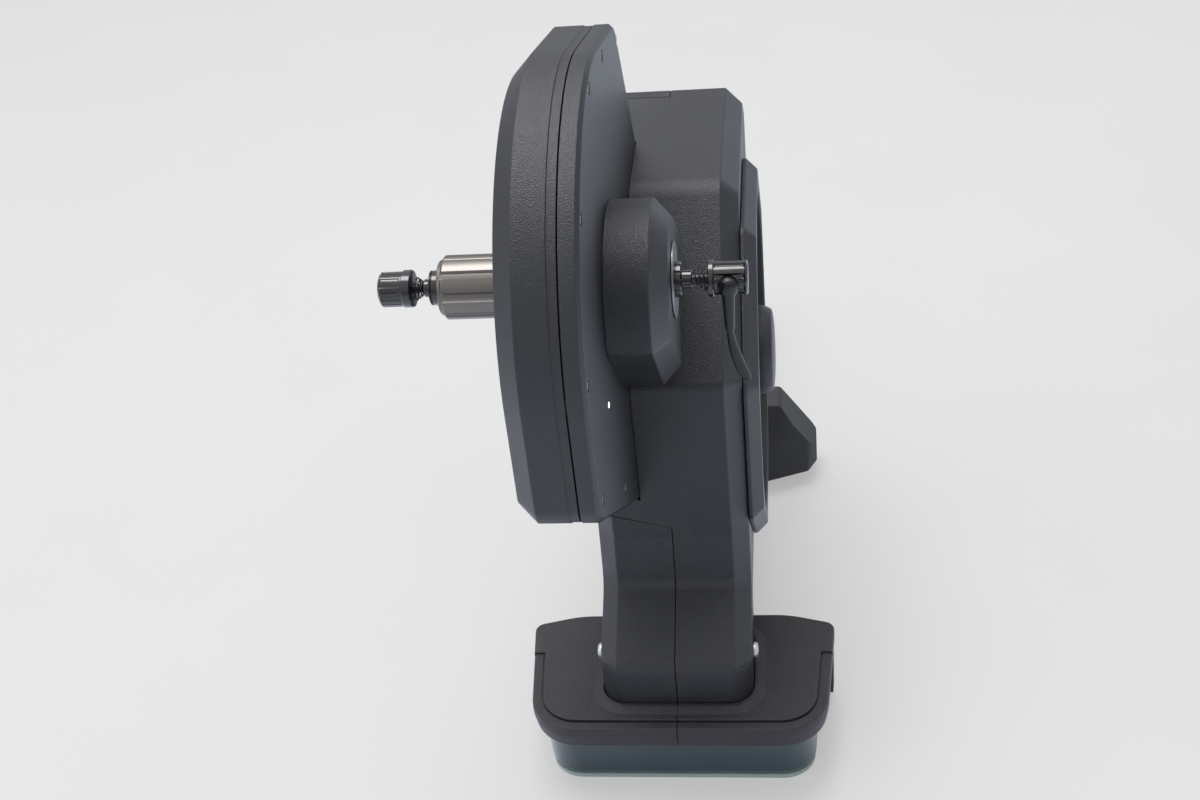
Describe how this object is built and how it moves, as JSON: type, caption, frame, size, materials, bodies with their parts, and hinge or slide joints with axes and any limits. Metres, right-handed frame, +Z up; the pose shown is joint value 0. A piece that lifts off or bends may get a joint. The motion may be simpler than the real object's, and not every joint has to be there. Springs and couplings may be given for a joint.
{
  "type": "direct drive bike trainer",
  "caption": "Indoor bicycle trainer that replaces the rear wheel: freehub and skewer on a belt-driven flywheel housing, front foot and folding rear legs.",
  "frame": {"origin": "on the floor, under the middle of the front foot, below the axle", "axes": "+X along the axle to the quick-release lever side, +Y to the rear, +Z up"},
  "size_m": [0.2422, 0.653, 0.4646],
  "materials": {
    "black_plastic": "fine-textured moulded plastic",
    "gloss_black": "smooth black, glossy",
    "petrol_steel": "glossy petrol blue paint",
    "black_steel": "black powder coat",
    "flywheel_iron": "black painted casting",
    "bright_steel": "plain steel",
    "grey_alloy": "dark grey anodised",
    "pale_rubber": "pale grey rubber",
    "black_rubber": "black rubber",
    "copper": "lacquered winding on steel poles",
    "board_green": "circuit board",
    "clear_light": "clear white status light"
  },
  "bodies": {
    "stand": {"main_frame": "black_steel", "base_plate": "petrol_steel", "rubber_sole": "pale_rubber", "foot_cover_right": "black_plastic", "foot_cover_left": "black_plastic", "body_shell_right": "black_plastic", "body_shell_left": "black_plastic", "belt_cover_inner": "black_plastic", "belt_cover_outer": "black_plastic", "flywheel_shroud": "black_plastic", "neck_screw_right": "bright_steel", "neck_screw_left": "bright_steel", "status_light": "clear_light", "axle": "bright_steel", "lever_end_cap": "gloss_black", "drive_end_cap": "gloss_black", "axle_washer": "bright_steel", "shaft_bearing_inner": "bright_steel", "shaft_bearing_outer": "bright_steel", "drive_belt": "black_rubber", "brake_stator": "copper", "control_board": "board_green", "power_inlet": "gloss_black", "leg_pin_right": "bright_steel", "leg_pin_left": "bright_steel", "cover_screw_1": "bright_steel", "cover_screw_2": "bright_steel", "cover_screw_3": "bright_steel", "cover_screw_4": "bright_steel", "cover_screw_5": "bright_steel", "cover_screw_6": "bright_steel", "cover_screw_7": "bright_steel", "cover_screw_8": "bright_steel", "cover_screw_9": "bright_steel", "cover_screw_10": "bright_steel"},
    "flywheel_unit": {"flywheel": "flywheel_iron", "flywheel_cap": "black_plastic", "flywheel_shaft": "bright_steel", "small_pulley": "grey_alloy"},
    "drive_wheel": {"drive_pulley": "grey_alloy", "hub_bearing_outer": "bright_steel", "hub_bearing_inner": "bright_steel"},
    "freehub": {"freehub_body": "grey_alloy", "freehub_bearing_outer": "bright_steel", "freehub_bearing_inner": "bright_steel"},
    "skewer": {"skewer_rod": "bright_steel", "skewer_head": "gloss_black", "lever_spring": "bright_steel", "drive_spring": "bright_steel"},
    "lever": {"skewer_lever": "gloss_black"},
    "nut": {"skewer_nut": "gloss_black"},
    "right_leg": {"leg_right": "black_plastic"},
    "left_leg": {"leg_left": "black_plastic"},
    "right_level_knob": {"level_knob_right": "black_plastic"},
    "left_level_knob": {"level_knob_left": "black_plastic"},
    "right_level_foot": {"level_pad_right": "black_rubber", "level_stud_right": "bright_steel"},
    "left_level_foot": {"level_pad_left": "black_rubber", "level_stud_left": "bright_steel"}
  },
  "joints": [
    {"name": "flywheel_spin", "type": "hinge", "parent": "stand", "child": "flywheel_unit", "pos_m": [0, 0.145, 0.2], "axis": [1, 0, 0], "continuous": true},
    {"name": "pulley_spin", "type": "hinge", "parent": "stand", "child": "drive_wheel", "pos_m": [0, 0, 0.34], "axis": [1, 0, 0], "continuous": true},
    {"name": "freewheel", "type": "hinge", "parent": "drive_wheel", "child": "freehub", "pos_m": [0, 0, 0.34], "axis": [1, 0, 0], "continuous": true},
    {"name": "skewer_turn", "type": "hinge", "parent": "stand", "child": "skewer", "pos_m": [0, 0, 0.34], "axis": [1, 0, 0], "continuous": true},
    {"name": "lever_swing", "type": "hinge", "parent": "skewer", "child": "lever", "pos_m": [0.0435, 0, 0.34], "axis": [0, -1, 0], "range_deg": [0, 180]},
    {"name": "nut_turn", "type": "hinge", "parent": "skewer", "child": "nut", "pos_m": [0, 0, 0.34], "axis": [1, 0, 0], "continuous": true},
    {"name": "right_leg_fold", "type": "hinge", "parent": "stand", "child": "right_leg", "pos_m": [0.033, 0.3, 0.035], "axis": [0, 0, -1], "range_deg": [0, 72]},
    {"name": "left_leg_fold", "type": "hinge", "parent": "stand", "child": "left_leg", "pos_m": [-0.033, 0.3, 0.035], "axis": [0, 0, 1], "range_deg": [0, 72]},
    {"name": "right_level_turn", "type": "hinge", "parent": "right_leg", "child": "right_level_knob", "pos_m": [0.0275, 0.506, 0.014], "axis": [0, 0, 1], "range_deg": [0, 1800]},
    {"name": "right_level_travel", "type": "slide", "parent": "right_leg", "child": "right_level_foot", "axis": [0, 0, -1], "range_m": [0, 0.0075]},
    {"name": "left_level_turn", "type": "hinge", "parent": "left_leg", "child": "left_level_knob", "pos_m": [-0.0275, 0.506, 0.014], "axis": [0, 0, 1], "range_deg": [0, 1800]},
    {"name": "left_level_travel", "type": "slide", "parent": "left_leg", "child": "left_level_foot", "axis": [0, 0, -1], "range_m": [0, 0.0075]}
  ],
  "couplings": [
    {"joint": "pulley_spin", "follows": "flywheel_spin", "ratio": 0.15741},
    {"joint": "right_level_travel", "follows": "right_level_turn", "m_per_rad": 0.00023873},
    {"joint": "left_level_travel", "follows": "left_level_turn", "m_per_rad": 0.00023873}
  ]
}
